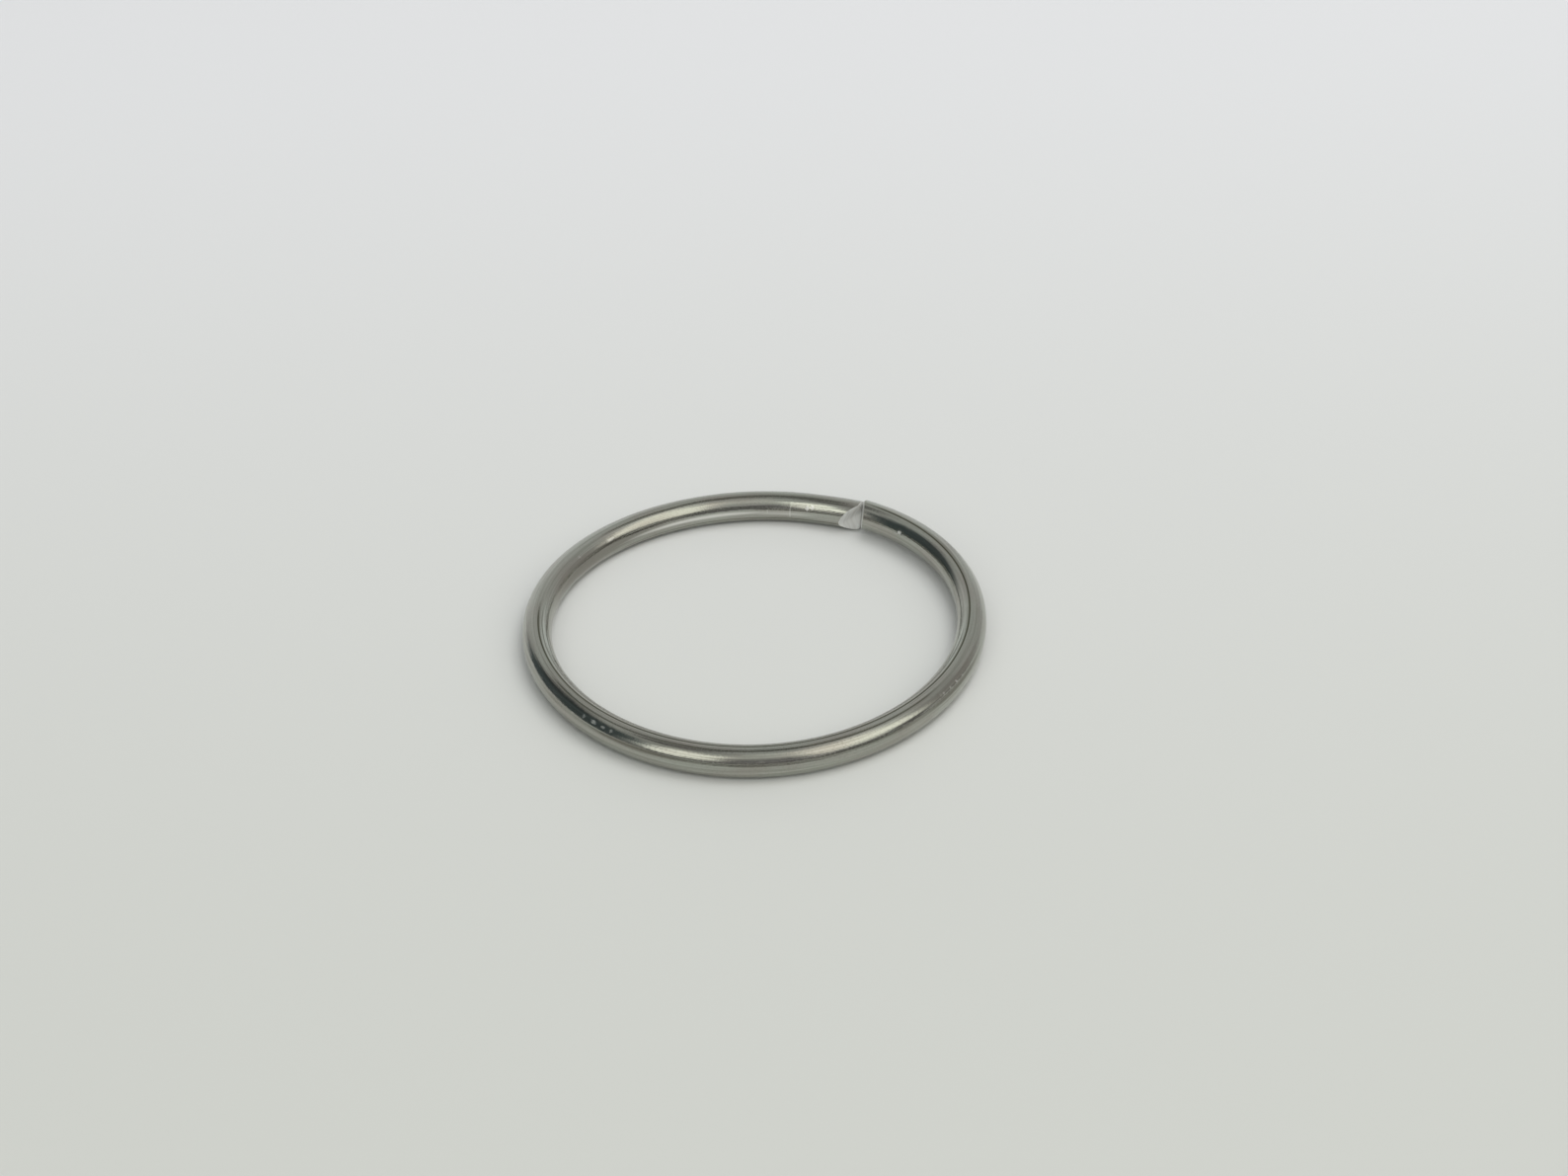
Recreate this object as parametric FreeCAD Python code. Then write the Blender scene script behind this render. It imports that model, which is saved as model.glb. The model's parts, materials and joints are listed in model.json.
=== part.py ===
import FreeCAD, Part
import math
import os

# A key ring: one turn of drawn steel wire whose two sheared ends meet almost edge to edge.
# Millimetres and degrees. The ring lies flat on z = 0, its centre is on the Z axis, and its
# ends meet at +Y. The wire is one piece. It is cut here into the lengths that move apart when
# the ring is sprung open: a left and a right arm with their ends, and the bow between them.

# Driving dimensions
OUTER_DIAMETER = 30.0
WIRE_WIDTH = 1.95  # across the ring, from its inside to its outside
WIRE_HEIGHT = 2.1
EDGE_RADIUS = 0.9  # rounding of the drawn wire between its narrow flats
END_GAP = 0.12  # between the two end faces
END_STEP = 0.35  # how much higher the right end stands than the left one
BOW_SPAN = 60.0  # angle of wire opposite the ends that does most of the bending
LEFT_END_SPAN = 12.0
RIGHT_END_SPAN = 80.0  # the wire climbs through all of this angle to the raised end
LEFT_SHEAR = 1.0  # how far the cutter's slant runs back along the inside of the left end
RIGHT_SHEAR = 1.0

# Worked out from them
OUTER_RADIUS = OUTER_DIAMETER / 2
MIDDLE_RADIUS = OUTER_RADIUS - WIRE_WIDTH / 2
HALF_GAP = math.degrees(END_GAP / 2 / MIDDLE_RADIUS)
END_AZIMUTH = 90.0
BOW_AZIMUTH = 270.0
LEFT_JOIN = BOW_AZIMUTH - BOW_SPAN / 2
RIGHT_JOIN = BOW_AZIMUTH - 360.0 + BOW_SPAN / 2
CLEAR = 1.0  # how far a cutting solid reaches past what it cuts

UP = FreeCAD.Vector(0, 0, 1)
ORIGIN = FreeCAD.Vector(0, 0, 0)


def on_ring(azimuth, radius, z=0.0):
    angle = math.radians(azimuth)
    return FreeCAD.Vector(radius * math.cos(angle), radius * math.sin(angle), z)


def wire_section():
    """The wire's section: a rectangle with large round edges, in the XZ plane at azimuth 0."""
    inner = MIDDLE_RADIUS - WIRE_WIDTH / 2
    outer = MIDDLE_RADIUS + WIRE_WIDTH / 2
    corners = [(inner, 0), (outer, 0), (outer, WIRE_HEIGHT), (inner, WIRE_HEIGHT)]
    edges = []
    bend = EDGE_RADIUS * (1 - math.sqrt(0.5))  # from a corner's two sides to its arc's middle
    for i, (x, z) in enumerate(corners):
        inward_x = 1 if x == inner else -1
        inward_z = 1 if z == 0 else -1
        along_x = FreeCAD.Vector(x + inward_x * EDGE_RADIUS, 0, z)
        along_z = FreeCAD.Vector(x, 0, z + inward_z * EDGE_RADIUS)
        middle = FreeCAD.Vector(x + inward_x * bend, 0, z + inward_z * bend)
        ends = (along_z, along_x) if i % 2 == 0 else (along_x, along_z)
        edges.append((ends[0], middle, ends[1]))
    outline = []
    for i, (start, middle, end) in enumerate(edges):
        outline.append(Part.Arc(start, middle, end).toShape())
        outline.append(Part.LineSegment(end, edges[(i + 1) % len(edges)][0]).toShape())
    return Part.Face(Part.Wire(outline))


def wire_arc(start, end):
    """A length of the ring's wire from one azimuth to another, anticlockwise."""
    section = wire_section()
    section.rotate(ORIGIN, UP, start)
    return section.revolve(ORIGIN, UP, end - start)


def shear_slant(end_azimuth, side, run_back):
    """What the cutter takes off the inner half of an end: side is +1 where the wire runs on
    anticlockwise from its end and -1 where it runs on clockwise."""
    reach = CLEAR + WIRE_WIDTH / 2
    slope = run_back / (WIRE_WIDTH / 2)
    plan = [
        (MIDDLE_RADIUS, 0),
        (MIDDLE_RADIUS - reach, slope * reach),
        (MIDDLE_RADIUS - reach, -CLEAR),
        (MIDDLE_RADIUS, -CLEAR),
    ]
    corners = [FreeCAD.Vector(radius, side * along, -CLEAR) for radius, along in plan]
    prism = Part.Face(Part.makePolygon(corners + corners[:1])).extrude(
        UP * (WIRE_HEIGHT + 2 * CLEAR)
    )
    prism.rotate(ORIGIN, UP, end_azimuth)
    return prism


def left_arm():
    return wire_arc(END_AZIMUTH + LEFT_END_SPAN, LEFT_JOIN)


def left_end():
    start = END_AZIMUTH + HALF_GAP
    tip = wire_arc(start, END_AZIMUTH + LEFT_END_SPAN)
    return tip.cut(shear_slant(start, 1, LEFT_SHEAR))


def bow():
    return wire_arc(LEFT_JOIN, BOW_AZIMUTH + BOW_SPAN / 2)


def right_arm():
    return wire_arc(RIGHT_JOIN, END_AZIMUTH - RIGHT_END_SPAN)


def right_end():
    """The end that has sprung out of the ring's plane: a length that is made a little too long,
    tilted about the ring's radius at its foot, and trimmed square where it leaves the arm."""
    spare = 2.0
    foot_azimuth = END_AZIMUTH - RIGHT_END_SPAN
    end = END_AZIMUTH - HALF_GAP
    tip = wire_arc(foot_azimuth - spare, end).cut(shear_slant(end, -1, RIGHT_SHEAR))
    foot = on_ring(foot_azimuth, MIDDLE_RADIUS, WIRE_HEIGHT / 2)
    reach = MIDDLE_RADIUS * math.sin(math.radians(RIGHT_END_SPAN))
    tilt = math.degrees(math.asin(END_STEP / reach))
    tip.rotate(foot, on_ring(foot_azimuth, 1), tilt)
    block = 4 * WIRE_WIDTH
    trim = Part.makeBox(
        block, block, block, FreeCAD.Vector(MIDDLE_RADIUS - block / 2, -block, -block / 2)
    )
    trim.rotate(ORIGIN, UP, foot_azimuth)
    return tip.cut(trim)


def write_step(name, shape):
    solids = shape.Solids
    if len(solids) != 1 or not solids[0].isValid():
        raise ValueError(f"{name} is not one valid solid")
    solids[0].exportStep(f"parts/{name}.step")
    box = solids[0].BoundBox
    print(
        f"{name}: {solids[0].Volume:.2f} mm3, x {box.XMin:.2f} to {box.XMax:.2f}, "
        f"y {box.YMin:.2f} to {box.YMax:.2f}, z {box.ZMin:.3f} to {box.ZMax:.3f}"
    )


os.makedirs("parts", exist_ok=True)
for make in (left_arm, left_end, bow, right_arm, right_end):
    write_step(make.__name__, make())
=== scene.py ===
"""The split key ring as it looks: one sheared, slightly sprung turn of plated wire."""
import json
import math

import bmesh
import bpy
import numpy as np
from mathutils import Matrix, Vector


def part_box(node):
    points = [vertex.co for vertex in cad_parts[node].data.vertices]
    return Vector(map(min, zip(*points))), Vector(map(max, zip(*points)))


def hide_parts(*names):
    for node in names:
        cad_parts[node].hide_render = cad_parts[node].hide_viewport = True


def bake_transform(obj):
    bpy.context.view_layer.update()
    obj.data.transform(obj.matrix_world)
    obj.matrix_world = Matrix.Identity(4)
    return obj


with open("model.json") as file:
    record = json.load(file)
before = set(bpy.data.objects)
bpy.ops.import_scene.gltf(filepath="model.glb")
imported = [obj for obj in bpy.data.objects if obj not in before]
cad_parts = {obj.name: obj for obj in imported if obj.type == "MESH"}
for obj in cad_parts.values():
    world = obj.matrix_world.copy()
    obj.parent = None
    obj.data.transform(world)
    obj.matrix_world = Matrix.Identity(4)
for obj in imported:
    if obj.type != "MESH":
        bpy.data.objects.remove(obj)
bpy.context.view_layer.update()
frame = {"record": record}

# ---------------------------------------------------------------------------------------------
# Shape of the wire. Lengths are in metres and angles in degrees. "Turn" is the angle round the
# ring from its meeting ends, positive along the left side and negative along the right one.
# The section angle is 0 on the outside of the ring, 90 on top and 180 on the inside.
# ---------------------------------------------------------------------------------------------
MM = 0.001
BOW_MIDDLE = frame["record"]["behaviour"]["joints"][0]["pos_m"]
MIDDLE_RADIUS = -BOW_MIDDLE[1]
CAD_HALF_HEIGHT = BOW_MIDDLE[2]
CAD_HALF_WIDTH = -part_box("left_arm")[0].x - MIDDLE_RADIUS

SECTION_POWER = 2.06  # 2 is an ellipse, and more is squarer
WORN = 0.03 * MM  # the real section is a little smaller all round than its nominal size
HALF_WIDTH = CAD_HALF_WIDTH - WORN
HALF_HEIGHT = CAD_HALF_HEIGHT - WORN
GIRTH = math.pi * (HALF_WIDTH + HALF_HEIGHT)

# The ring isn't a true circle: waves round the ring, depth, and turn of a crest.
RADIUS_ERROR = -0.045 * MM
OUT_OF_ROUND = ((3, 0.14 * MM, -25.0), (2, 0.05 * MM, -24.0))

# The right end climbs a long way round the ring, and the left one only near its cut.
END_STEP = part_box("right_end")[1].z - 2 * CAD_HALF_HEIGHT
RIGHT_CLIMB = 80.0
CLIMB_EASE = 20.0  # turn over which the climb starts gently
LEFT_STEP = 0.16 * MM
LEFT_CLIMB = 14.0
LEFT_CLIMB_POWER = 1.5

BOW_SPAN = 60.0
LEFT_REACH = 180 + BOW_SPAN / 2  # the left piece goes on through the bow
RIGHT_REACH = 180 - BOW_SPAN / 2

SECTION_POINTS = 100
STATION_STEP = 0.24
CAP_RINGS = 40
CAP_CENTRE = 0.004  # size of the innermost ring of a cap, as a share of the section
CUT_REACH = 14.0  # the rings of points lean with the cut over this much turn

# Each end's cut: how far back the metal begins, on planes of
# (depth at the middle in mm, slope outwards, slope upwards). The shallowest plane counts, and
# planes meet in a soft crease.
END_CLEAR = 0.06 * MM
LEFT_CUT = ((0.23, -0.92, -0.51), (0.10, -1.70, 0.50))
RIGHT_CUT = ((-0.05, -0.55, 0.13),)
CREASE_ROUND = 0.08 * MM
CORNER_ROUND = 0.08 * MM
CORNER_START = 0.75  # share of the section, from its middle, where the rounded corner begins


def centre_line(turn):
    """Radius and height of the wire's middle."""
    radius = MIDDLE_RADIUS + RADIUS_ERROR
    for waves, depth, crest in OUT_OF_ROUND:
        radius = radius + depth * np.cos(np.radians(waves * (turn - crest)))
    climb = np.where(turn < 0, np.clip(turn + RIGHT_CLIMB, 0, None), 0)
    top = math.sin(math.radians(RIGHT_CLIMB))
    right = END_STEP * np.sin(np.radians(climb)) / top * np.clip(climb / CLIMB_EASE, 0, 1)
    near = np.where(turn >= 0, np.clip(1 - turn / LEFT_CLIMB, 0, 1), 0)
    return radius, HALF_HEIGHT + right + LEFT_STEP * near**LEFT_CLIMB_POWER


def section(angle):
    """Out, up and the outward normal at a section angle in radians."""
    c, s = np.cos(angle), np.sin(angle)
    power = 2 / SECTION_POWER
    out = np.sign(c) * np.abs(c) ** power * HALF_WIDTH
    up = np.sign(s) * np.abs(s) ** power * HALF_HEIGHT
    normal_out = np.sign(c) * np.abs(c) ** (2 - power) / HALF_WIDTH
    normal_up = np.sign(s) * np.abs(s) ** (2 - power) / HALF_HEIGHT
    length = np.hypot(normal_out, normal_up)
    return out, up, normal_out / length, normal_up / length


def cut_turn(cut, out, up):
    """Turn where the metal begins at a point of the section."""
    planes = [start * MM + a * out + b * up for start, a, b in cut]
    slant = -CREASE_ROUND * np.log(sum(np.exp(-plane / CREASE_ROUND) for plane in planes))
    edge = np.hypot(out / HALF_WIDTH, up / HALF_HEIGHT)
    corner = np.clip(edge - CORNER_START, 0, None) / (1 - CORNER_START)
    depth = END_CLEAR + np.clip(slant, 0, None) + CORNER_ROUND * corner**2
    return np.degrees(depth / MIDDLE_RADIUS)


# Knocks that show as shapes: turn and section angle of the middle in degrees, half length and
# half width in mm, depth in mm, and how far the long axis leans from across the wire.
KNOCKS = (
    (15.4, 152, 0.10, 0.30, 0.006, 30),
    (13.9, 146, 0.10, 0.32, 0.006, 30),
    (20.6, 160, 0.08, 0.70, 0.003, 0),
    (27.5, 170, 0.08, 0.35, 0.003, 5),
    (-16.0, 152, 0.22, 0.24, 0.034, -30),
    (-13.5, 100, 0.16, 0.25, 0.010, 10),
    (76.0, 146, 0.30, 0.30, 0.008, 15),
    (79.5, 140, 0.24, 0.26, 0.006, 10),
    (91.0, 128, 0.24, 0.22, 0.008, 0),
    (160.0, 52, 0.14, 0.16, 0.008, 20),
    (164.0, 46, 0.14, 0.18, 0.008, -15),
    (166.5, 44, 0.14, 0.18, 0.010, 30),
    (169.5, 42, 0.20, 0.20, 0.013, 30),
    (172.5, 42, 0.16, 0.18, 0.011, 0),
    (175.0, 44, 0.12, 0.18, 0.010, 15),
    (-147.0, 40, 0.16, 0.22, 0.010, 20),
    (-141.0, 30, 0.14, 0.20, 0.008, 0),
    (-97.0, 42, 0.14, 0.18, 0.012, 10),
    (-94.0, 38, 0.12, 0.18, 0.011, -20),
    (-91.0, 40, 0.14, 0.18, 0.012, 25),
    (-88.0, 36, 0.12, 0.18, 0.010, 15),
    (-85.0, 38, 0.14, 0.18, 0.010, 15),
)
DENTS = 420
DENT_SEED = 7
DENT_DEPTH = 0.0022  # mm, for the deepest of the small dents
DENT_WINDOW = 8.0  # turn on each side of a dent in which it's worked out


def all_dents():
    """The listed knocks, then many small shallow dents from tumbling."""
    random = np.random.default_rng(DENT_SEED)
    dents = list(KNOCKS)
    for _ in range(DENTS):
        turn, angle = random.uniform(-180, 180), random.uniform(0, 360)
        size = random.uniform(0.10, 0.30)
        width = size * random.uniform(0.6, 1.4)
        depth = DENT_DEPTH * random.uniform(0.3, 1.0)
        dents.append((turn, angle, size, width, depth, random.uniform(-60, 60)))
    return dents


def wrapped(turn):
    """The same turn, from -180 to 180."""
    return (turn + 180) % 360 - 180


def relief(turn, angle):
    """The dents, as heights below the smooth wire, for grids of turns and angles."""
    height = np.zeros(turn.shape)
    for at_turn, at_angle, length, width, depth, lean in all_dents():
        rows = np.flatnonzero(np.abs(wrapped(turn[:, 0] - at_turn)) < DENT_WINDOW)
        if len(rows) == 0:
            continue
        part = slice(rows[0], rows[-1] + 1)
        along = np.radians(wrapped(turn[part] - at_turn)) * MIDDLE_RADIUS / MM
        angle_away = (angle[part] - math.radians(at_angle) + np.pi) % (2 * np.pi) - np.pi
        across = angle_away * GIRTH / (2 * np.pi) / MM
        c, s = math.cos(math.radians(lean)), math.sin(math.radians(lean))
        away = np.hypot((along * c + across * s) / length, (across * c - along * s) / width)
        height[part] -= depth * MM * np.exp(-(away**2))
    return height


def place(turn, out, up):
    """Points of the ring at a turn and a place in the section."""
    radius, height = centre_line(turn)
    azimuth = np.radians(90 + turn)
    r = radius + out
    return np.stack([r * np.cos(azimuth), r * np.sin(azimuth), height + up], -1)


def section_angles():
    """Once round the section from underneath, where the seam of the coordinates is hidden."""
    return np.linspace(-np.pi / 2, 3 * np.pi / 2, SECTION_POINTS + 1)


def skin_grid(side, reach, cut):
    """Points and wire coordinates of one side of the ring, from its cut end to its reach."""
    angle = section_angles()
    out, up, normal_out, normal_up = section(angle)
    stations = np.linspace(0, reach, round(reach / STATION_STEP) + 1)
    lean = np.clip(1 - stations / CUT_REACH, 0, 1)[:, None]
    turn = side * (stations[:, None] + lean * cut_turn(cut, out, up))
    angles = np.broadcast_to(angle, turn.shape)
    height = relief(turn, angles)
    points = place(turn, out + height * normal_out, up + height * normal_up)
    along = np.radians(turn % 360) * MIDDLE_RADIUS / MM
    across = angles * GIRTH / (2 * np.pi) / MM
    return points, np.stack([along, across], -1)


def cap_grid(side, cut):
    """Points and face coordinates of the sheared end, from the rim to the middle."""
    out, up, _, _ = section(section_angles())
    share = np.linspace(1, CAP_CENTRE, CAP_RINGS)[:, None]
    out, up = out * share, up * share
    points = place(side * cut_turn(cut, out, up), out, up)
    return points, np.stack([out, up], -1) / MM


def add_grid(bm, uv, points, coordinates, material):
    """Quads over a grid whose last column closes on its first one. Returns the rows."""
    rows = [[bm.verts.new(p) for p in row[:-1]] for row in points]
    count = len(rows[0])
    for i in range(len(rows) - 1):
        for j in range(count):
            k = (j + 1) % count
            corners = [rows[i][j], rows[i][k], rows[i + 1][k], rows[i + 1][j]]
            places = [(i, j), (i, j + 1), (i + 1, j + 1), (i + 1, j)]
            face = bm.faces.new(corners)
            face.smooth = True
            face.material_index = material
            for loop, (a, b) in zip(face.loops, places):
                loop[uv].uv = coordinates[a, b]
    return rows


PLATED, SHEARED = 0, 1  # a piece's material slots


def wire_piece(name, side, reach, cut):
    """One closed piece of the ring. side is 1 for the left one and -1 for the right one."""
    bm = bmesh.new()
    uv = bm.loops.layers.uv.new("wire")
    skin = add_grid(bm, uv, *skin_grid(side, reach, cut), PLATED)
    cap = add_grid(bm, uv, *cap_grid(side, cut), SHEARED)
    bm.faces.new(skin[-1]).material_index = PLATED
    bm.faces.new(cap[-1]).material_index = SHEARED
    bmesh.ops.weld_verts(bm, targetmap=dict(zip(cap[0], skin[0])))
    bmesh.ops.recalc_face_normals(bm, faces=bm.faces)
    for edge in bm.edges:
        kinds = {face.material_index for face in edge.link_faces}
        edge.smooth = len(kinds) == 1
    mesh = bpy.data.meshes.new(name)
    bm.to_mesh(mesh)
    bm.free()
    piece = bpy.data.objects.new(name, mesh)
    bpy.context.scene.collection.objects.link(piece)
    return piece


left = wire_piece("left_wire", 1, LEFT_REACH, LEFT_CUT)
right = wire_piece("right_wire", -1, RIGHT_REACH, RIGHT_CUT)


# ---------------------------------------------------------------------------------------------
# Materials
# ---------------------------------------------------------------------------------------------
class Nodes:
    """Short calls for building a node tree. A value is a number, a colour or a socket."""

    def __init__(self, tree):
        self.tree = tree

    def add(self, kind, **settings):
        node = self.tree.nodes.new(kind)
        for key, value in settings.items():
            setattr(node, key, value)
        return node

    def link(self, value, socket):
        if isinstance(value, bpy.types.NodeSocket):
            self.tree.links.new(value, socket)
        else:
            socket.default_value = value

    def math(self, operation, *values):
        node = self.add("ShaderNodeMath", operation=operation)
        for socket, value in zip(node.inputs, values):
            self.link(value, socket)
        return node.outputs[0]

    def smooth(self, value, start, end):
        """0 before start and 1 after end, with a soft step between. End may be the lower."""
        node = self.add("ShaderNodeMapRange", interpolation_type="SMOOTHSTEP")
        self.link(value, node.inputs["Value"])
        node.inputs["From Min"].default_value = start
        node.inputs["From Max"].default_value = end
        return node.outputs["Result"]

    def noise(self, vector, scale, detail=3.0, rough=0.5):
        """Noise with its own scale along each axis."""
        mapping = self.add("ShaderNodeMapping")
        self.link(vector, mapping.inputs["Vector"])
        mapping.inputs["Scale"].default_value = scale
        node = self.add("ShaderNodeTexNoise")
        self.link(mapping.outputs[0], node.inputs["Vector"])
        node.inputs["Scale"].default_value = 1.0
        node.inputs["Detail"].default_value = detail
        node.inputs["Roughness"].default_value = rough
        return node.outputs["Fac"]

    def mix(self, share, a, b):
        node = self.add("ShaderNodeMix", data_type="RGBA")
        self.link(share, node.inputs[0])
        self.link(a, node.inputs[6])
        self.link(b, node.inputs[7])
        return node.outputs[2]

    def bump(self, height, distance, normal=None):
        node = self.add("ShaderNodeBump")
        node.inputs["Distance"].default_value = distance
        self.link(height, node.inputs["Height"])
        if normal is not None:
            self.link(normal, node.inputs["Normal"])
        return node.outputs[0]

    def separate(self, vector):
        node = self.add("ShaderNodeSeparateXYZ")
        self.link(vector, node.inputs[0])
        return node.outputs


def new_material(name):
    material = bpy.data.materials.new(name)
    material.use_nodes = True
    return material, Nodes(material.node_tree), material.node_tree.nodes["Principled BSDF"]


# In the materials the turn runs on from the left end all the way round to the right one, at 360.
MM_OF_TURN = math.radians(1.0) * MIDDLE_RADIUS / MM
MM_OF_ANGLE = GIRTH / 360 / MM

# Long fine lines: grooves that the drawing die left, and bands of painted dark reflection.
# Columns: section angle, half width in mm, turns where it starts and ends, and how strong it is.
GROOVES_AND_DARK_BANDS = (
    (97.0, 0.072, 118.0, 356.0, 0.95),
    (112.0, 0.042, 120.0, 290.0, 0.60),
    (127.0, 0.040, 150.0, 250.0, 0.40),
    (140.0, 0.045, 130.0, 215.0, 0.50),
    (74.0, 0.060, 150.0, 262.0, 0.70),
    (110.0, 0.060, 4.0, 78.0, 0.65),
    # The next two are painted dark reflection bands, not grooves.
    (157.0, 0.060, 28.0, 72.0, 0.40),
    (21.0, 0.110, 150.0, 288.0, 0.35),
    (163.0, 0.045, 2.0, 28.0, 0.45),
    (205.0, 0.050, 4.0, 75.0, 0.50),
    (60.0, 0.035, 300.0, 354.0, 0.35),
)
LINE_FADE = 5.0  # turn on each side of a line's start and end over which it fades
LINE_WANDER = 0.24  # mm from side to side


def grooves_and_dark_bands(n, uv):
    """How much of the drawing lines and the painted dark reflection bands each point has."""
    along, across, _ = n.separate(uv)
    bend = n.noise(uv, (0.05, 0.0, 0.0), 2.0)
    wander = n.math("MULTIPLY_ADD", bend, LINE_WANDER, -LINE_WANDER / 2)
    fade = LINE_FADE * MM_OF_TURN
    total = 0.0
    for angle, half_width, start, end, strength in GROOVES_AND_DARK_BANDS:
        middle = n.math("ADD", wander, angle * MM_OF_ANGLE)
        away = n.math("ABSOLUTE", n.math("SUBTRACT", across, middle))
        line = n.smooth(away, 1.4 * half_width, 0.3 * half_width)
        begins = n.smooth(along, start * MM_OF_TURN - fade, start * MM_OF_TURN + fade)
        ends = n.smooth(along, end * MM_OF_TURN + fade, end * MM_OF_TURN - fade)
        inside = n.math("MULTIPLY", begins, n.math("MULTIPLY", ends, strength))
        total = n.math("MAXIMUM", n.math("MULTIPLY", line, inside), total)
    return total


# Spots on the plating (painted dark reflection, painted highlight, and scuffs painted bright as
# glints): middle and half length in turn, middle and half width in section angle, and how strong.
# Painted dark reflection: darker, browner spots where the wire should mirror something dark.
DARK_REFLECTION_SPOTS = (
    (86.0, 22.0, 172.0, 22.0, 0.75),
    (157.0, 14.0, 63.0, 9.0, 0.60),
    (183.0, 12.0, 20.0, 8.0, 0.70),
    (270.0, 12.0, 24.0, 8.0, 0.75),
    (262.0, 10.0, 60.0, 14.0, 0.35),
    (205.0, 16.0, 36.0, 16.0, 0.25),
)
# Painted highlight: bands of brighter colour in place of a highlight on the inner back of the
# ring.
HIGHLIGHT_SPOTS = (
    (46.0, 20.0, 178.0, 7.0, 0.85),
    (24.0, 10.0, 180.0, 6.0, 0.45),
)
# Scuffs: real knock marks, painted bright and rough so that they show as glints (partly painted
# highlight).
SCUFFS_WITH_GLINTS = (
    (15.4, 0.45, 152.0, 9.0, 0.90),
    (13.9, 0.40, 147.0, 9.0, 0.90),
    (20.6, 0.14, 171.0, 20.0, 0.45),
    (27.5, 0.10, 172.0, 8.0, 0.50),
    (344.2, 0.70, 158.0, 7.0, 1.00),
    (166.0, 0.50, 43.0, 6.0, 0.60),
    (169.4, 0.80, 43.0, 7.0, 0.75),
    (172.6, 0.55, 43.0, 6.0, 0.65),
    (175.2, 0.45, 44.0, 6.0, 0.55),
    (78.0, 1.20, 143.0, 6.0, 0.35),
    (91.0, 0.50, 128.0, 5.0, 0.20),
    (264.5, 0.30, 40.0, 5.0, 0.35),
    (267.5, 0.25, 38.0, 4.0, 0.40),
    (270.5, 0.35, 38.0, 5.0, 0.45),
    (273.5, 0.25, 36.0, 4.0, 0.35),
)


def spots(n, uv, places, ragged):
    """How much of the listed spots each point has, as used for painted dark reflections, painted
    highlights and scuffs painted bright as glints. Ragged moves the edges of the spots about.
    """
    along, across, _ = n.separate(uv)
    total = 0.0
    for turn, half_turn, angle, half_angle, strength in places:
        aside = n.math("MULTIPLY_ADD", along, 1 / (half_turn * MM_OF_TURN), -turn / half_turn)
        above = n.math("MULTIPLY_ADD", across, 1 / (half_angle * MM_OF_ANGLE), -angle / half_angle)
        away = n.math("ADD", n.math("MULTIPLY", aside, aside), n.math("MULTIPLY", above, above))
        away = n.math("ADD", n.math("SQRT", away), ragged)
        spot = n.math("MULTIPLY", n.smooth(away, 1.5, 0.5), strength)
        total = n.math("MAXIMUM", spot, total)
    return total


PLATE_COOL = (0.43, 0.445, 0.40, 1)
PLATE_WARM = (0.41, 0.395, 0.36, 1)
PLATE_DARK = (0.24, 0.24, 0.205, 1)
PLATE_BRIGHT = (0.56, 0.57, 0.53, 1)
# colour of the painted dark reflection
PAINTED_DARK_REFLECTION = (0.22, 0.205, 0.18, 1)
# colour of the painted highlight
PAINTED_HIGHLIGHT = (0.84, 0.83, 0.79, 1)
# dark of the grooves and of the painted dark reflection bands
GROOVE_AND_BAND_DARK = (0.09, 0.09, 0.06, 1)
# scuff colour, bright enough to show as painted glints
SCUFF_AND_GLINT = (0.93, 0.93, 0.91, 1)
PLATE_ROUGHNESS = 0.085  # at its smoothest


def wire_textures(n, uv):
    """The plating's patterns, by name. The noises are drawn out along the wire."""
    return {
        "streaks": n.noise(uv, (0.07, 4.5, 1.0), 3.0, 0.55),
        "lines": n.noise(uv, (0.16, 13.0, 1.0), 2.0, 0.5),
        "grain": n.noise(uv, (7.0, 9.0, 1.0), 3.0, 0.55),
        "patches": n.noise(uv, (0.22, 0.8, 1.0), 3.0, 0.55),
        "groove_and_dark_band": grooves_and_dark_bands(n, uv),
    }


def plate_tone(n, uv, texture, scuff_and_glint_share):
    streaks, lines, grain = texture["streaks"], texture["lines"], texture["grain"]
    tone = n.mix(n.smooth(texture["patches"], 0.35, 0.68), PLATE_COOL, PLATE_WARM)
    tone = n.mix(n.math("MULTIPLY", n.smooth(streaks, 0.50, 0.68), 0.52), tone, PLATE_DARK)
    tone = n.mix(n.math("MULTIPLY", n.smooth(lines, 0.52, 0.70), 0.45), tone, PLATE_DARK)
    tone = n.mix(n.math("MULTIPLY", n.smooth(streaks, 0.46, 0.33), 0.45), tone, PLATE_BRIGHT)
    tone = n.mix(n.math("MULTIPLY", n.smooth(grain, 0.50, 0.72), 0.30), tone, PLATE_DARK)
    blurred = n.math("MULTIPLY_ADD", streaks, 1.2, -0.6)
    # painted dark reflection spots
    tone = n.mix(spots(n, uv, DARK_REFLECTION_SPOTS, blurred), tone, PAINTED_DARK_REFLECTION)
    # painted highlight bands
    tone = n.mix(spots(n, uv, HIGHLIGHT_SPOTS, blurred), tone, PAINTED_HIGHLIGHT)
    # grooves, and bands of painted dark reflection
    tone = n.mix(texture["groove_and_dark_band"], tone, GROOVE_AND_BAND_DARK)
    # scuffs, painted bright as glints
    return n.mix(scuff_and_glint_share, tone, SCUFF_AND_GLINT)


def plate_roughness(n, texture, scuff_and_glint_share):
    rough = n.math("MULTIPLY_ADD", n.smooth(texture["grain"], 0.42, 0.72), 0.10, PLATE_ROUGHNESS)
    rough = n.math("MULTIPLY_ADD", n.smooth(texture["patches"], 0.4, 0.7), 0.10, rough)
    rough = n.math("MULTIPLY_ADD", texture["groove_and_dark_band"], 0.2, rough)
    return n.math("MULTIPLY_ADD", scuff_and_glint_share, 0.40, rough)


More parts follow.
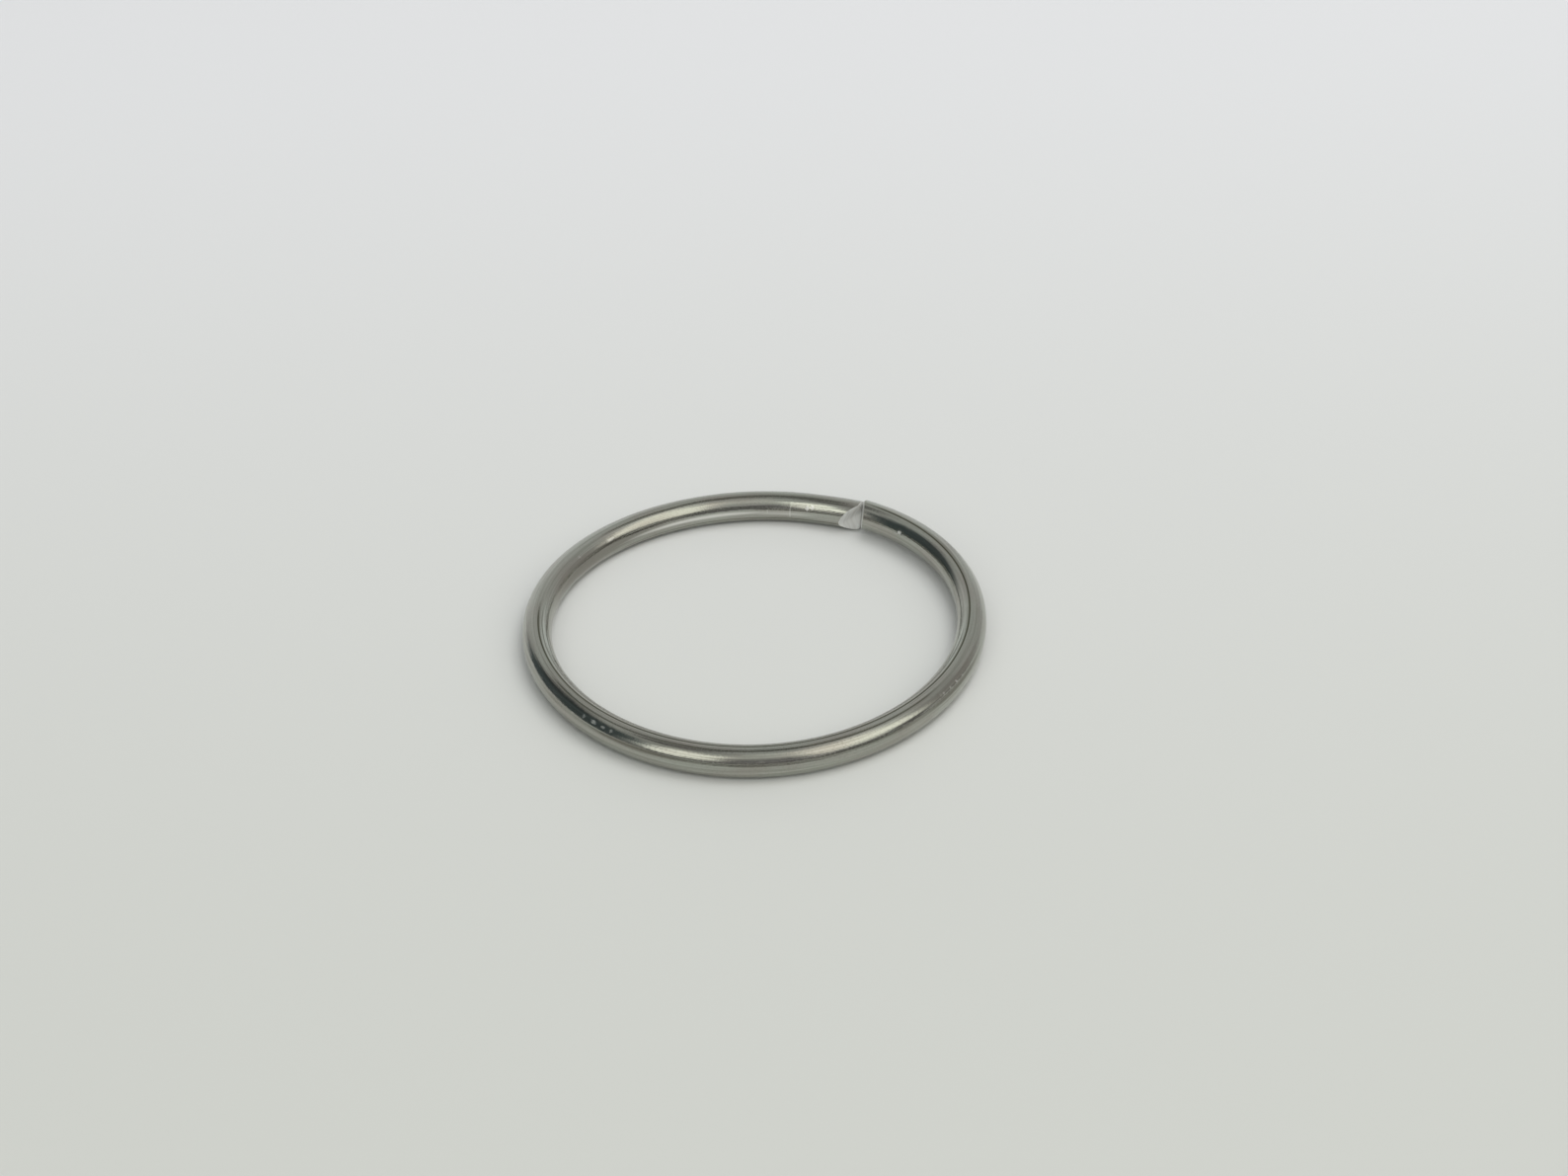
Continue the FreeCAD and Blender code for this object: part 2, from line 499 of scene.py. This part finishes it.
def plate_normal(n, texture):
    normal = n.bump(texture["streaks"], 0.022 * MM)
    normal = n.bump(texture["lines"], 0.005 * MM, normal)
    normal = n.bump(texture["grain"], 0.005 * MM, normal)
    return n.bump(n.math("MULTIPLY", texture["groove_and_dark_band"], -1.0), 0.015 * MM, normal)


def plated_wire():
    material, n, shader = new_material("plated_wire")
    uv = n.add("ShaderNodeUVMap", uv_map="wire").outputs[0]
    texture = wire_textures(n, uv)
    ragged = n.math("MULTIPLY_ADD", texture["grain"], 3.0, -1.5)
    scuff_and_glint_share = spots(n, uv, SCUFFS_WITH_GLINTS, ragged)
    n.link(plate_tone(n, uv, texture, scuff_and_glint_share), shader.inputs["Base Color"])
    n.link(plate_roughness(n, texture, scuff_and_glint_share), shader.inputs["Roughness"])
    n.link(plate_normal(n, texture), shader.inputs["Normal"])
    shader.inputs["Metallic"].default_value = 1.0
    return material


STEEL_LIGHT = (0.74, 0.745, 0.73, 1)
STEEL_DARK = (0.62, 0.615, 0.595, 1)


def sheared_steel():
    material, n, shader = new_material("sheared_steel")
    uv = n.add("ShaderNodeUVMap", uv_map="wire").outputs[0]
    drag = n.noise(uv, (7.0, 0.5, 1.0), 2.0, 0.5)
    grain = n.noise(uv, (12.0, 12.0, 1.0), 4.0, 0.6)
    tone = n.mix(n.smooth(drag, 0.35, 0.7), STEEL_LIGHT, STEEL_DARK)
    n.link(tone, shader.inputs["Base Color"])
    shader.inputs["Metallic"].default_value = 0.55
    n.link(n.math("MULTIPLY_ADD", grain, 0.25, 0.38), shader.inputs["Roughness"])
    normal = n.bump(drag, 0.010 * MM)
    normal = n.bump(grain, 0.010 * MM, normal)
    n.link(normal, shader.inputs["Normal"])
    return material


slots = (plated_wire(), sheared_steel())
for piece in (left, right):
    for material in slots:
        piece.data.materials.append(material)

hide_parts("left_arm", "left_end", "bow")
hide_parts("right_arm", "right_end")


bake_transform(left)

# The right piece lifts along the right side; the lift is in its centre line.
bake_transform(right)

# ---------------------------------------------------------------------------------------------
# Floor, light and camera
# ---------------------------------------------------------------------------------------------
VIEW_AZIMUTH = 32.5  # the camera looks along +Y turned by this much
VIEW_ELEVATION = 35.79
VIEW_DISTANCE = 161.6 * MM
VIEW_ROLL = 1.93
FOCAL_WIDTHS = 1.5995  # focal length, in widths of the picture
AIM_RIGHT = -0.0187  # where the ring's middle is, in widths of the picture from its centre
AIM_UP = -0.0222

FLOOR_SIZE = 3.0
# Painted shade: the floor is darker on the side towards the camera and lighter away from it.
FLOOR_SHADED_NEAR = (0.63, 0.645, 0.625, 1)
FLOOR_LIT_FAR = (0.80, 0.81, 0.85, 1)
NEAR_TO_FAR = (-0.055, 0.12)  # metres from the ring's middle, along VIEW_AZIMUTH


def floor_material():
    """Matt and pale, with painted shade: darker on the near side, it gets cooler and lighter along
    one direction of the floor.
    """
    material, n, shader = new_material("floor")
    turned = n.add("ShaderNodeMapping")
    n.link(n.add("ShaderNodeTexCoord").outputs["Object"], turned.inputs["Vector"])
    turned.inputs["Rotation"].default_value = (0, 0, math.radians(-VIEW_AZIMUTH))
    ahead = n.separate(turned.outputs[0])[1]
    tone = n.mix(n.smooth(ahead, *NEAR_TO_FAR), FLOOR_SHADED_NEAR, FLOOR_LIT_FAR)
    n.link(tone, shader.inputs["Base Color"])
    shader.inputs["Roughness"].default_value = 0.7
    shader.inputs["Specular IOR Level"].default_value = 0.2
    return material


bpy.ops.mesh.primitive_plane_add(size=FLOOR_SIZE, location=(0, 0, 0))
floor = bpy.context.object
floor.name = "floor"
floor.data.materials.append(floor_material())

# The room that the wire mirrors, as soft-edged patches: middle and half width in azimuth,
# middle and half height in elevation, softness (all in degrees), brightness and colour.
# Azimuth is anticlockwise from the picture's right.
ROOM = (
    (10, 26, 14, 22, 12, 0.38, (1.0, 0.96, 0.92)),
    (92, 36, 11, 17, 10, 0.76, (0.97, 1.0, 0.99)),
    (0, 20, 62, 14, 10, 0.85, (1.0, 1.0, 0.95)),
    (275, 24, 62, 18, 10, 0.74, (1.0, 1.0, 0.95)),
    (108, 66, 71, 9, 4, 0.13, (1.0, 0.96, 0.92)),
    (171, 35, 11, 37, 9, 0.095, (0.80, 0.97, 1.0)),
    (232, 18, 38, 20, 6, 1.65, (1.0, 1.0, 0.92)),
    (326, 31, 46, 24, 8, 1.45, (1.0, 0.98, 0.89)),
    (280, 74, 3, 12, 5, 0.16, (1.0, 0.95, 0.92)),
    (272, 22, 14, 13, 7, 0.20, (1.0, 0.97, 1.0)),
)
ROOM_LIGHT = 0.52
ROOM_COLOUR = (0.99, 1.0, 0.97)


def room():
    world = bpy.data.worlds.new("room")
    world.use_nodes = True
    bpy.context.scene.world = world
    n = Nodes(world.node_tree)
    x, y, z = n.separate(n.add("ShaderNodeTexCoord").outputs["Generated"])
    azimuth = n.math("MULTIPLY", n.math("ARCTAN2", y, x), 180 / math.pi)
    azimuth = n.math("SUBTRACT", azimuth, VIEW_AZIMUTH)
    elevation = n.math("MULTIPLY", n.math("ARCSINE", z), 180 / math.pi)
    colour = tuple(ROOM_LIGHT * c for c in ROOM_COLOUR) + (1.0,)
    for middle, half_width, height, half_height, soft, light, tint in ROOM:
        aside = n.math("WRAP", n.math("SUBTRACT", azimuth, middle), 180.0, -180.0)
        above = n.math("SUBTRACT", elevation, height)
        near = n.smooth(n.math("ABSOLUTE", aside), half_width + soft, half_width - soft)
        level = n.smooth(n.math("ABSOLUTE", above), half_height + soft, half_height - soft)
        patch = tuple(light * c for c in tint) + (1.0,)
        colour = n.mix(n.math("MULTIPLY", near, level), colour, patch)
    n.link(colour, world.node_tree.nodes["Background"].inputs["Color"])


# Azimuth, elevation and power of each lamp.
LAMPS = ((15.0, 72.0, 0.98), (275.0, 50.0, 0.62))
LAMP_DISTANCE = 0.60
LAMP_SIZE = 0.39


def lamp(name, azimuth, elevation, power):
    """A large soft lamp that lights the floor and isn't mirrored."""
    data = bpy.data.lights.new(name, "AREA")
    data.size = LAMP_SIZE
    data.energy = power
    light = bpy.data.objects.new(name, data)
    bpy.context.scene.collection.objects.link(light)
    azimuth = math.radians(azimuth + VIEW_AZIMUTH)
    elevation = math.radians(elevation)
    level = LAMP_DISTANCE * math.cos(elevation)
    light.location = (
        level * math.cos(azimuth),
        level * math.sin(azimuth),
        LAMP_DISTANCE * math.sin(elevation),
    )
    light.rotation_euler = (0, math.pi / 2 - elevation, azimuth)
    light.visible_glossy = False


def camera():
    data = bpy.data.cameras.new("camera")
    eye = bpy.data.objects.new("camera", data)
    bpy.context.scene.collection.objects.link(eye)
    bpy.context.scene.camera = eye
    data.sensor_fit = "HORIZONTAL"
    data.sensor_width = 36.0
    data.lens = data.sensor_width * FOCAL_WIDTHS
    data.clip_start = 0.005
    # towards the ring's middle, then rolled, and turned aside so that the middle isn't centred
    look = Matrix.Rotation(math.radians(VIEW_AZIMUTH), 3, "Z")
    look = look @ Matrix.Rotation(math.radians(90 - VIEW_ELEVATION), 3, "X")
    roll = Matrix.Rotation(math.radians(VIEW_ROLL), 3, "Z")
    aim = Vector((AIM_RIGHT, AIM_UP, -FOCAL_WIDTHS))
    aside = Vector((0, 0, -1)).rotation_difference(aim).to_matrix()
    turned = look @ (aside @ roll).transposed()
    middle = Vector((0, 0, CAD_HALF_HEIGHT))
    eye.matrix_world = Matrix.Translation(middle + look.col[2] * VIEW_DISTANCE) @ turned.to_4x4()


room()
for number, settings in enumerate(LAMPS):
    lamp(f"lamp_{number}", *settings)
camera()
bpy.context.scene.view_settings.view_transform = "Standard"
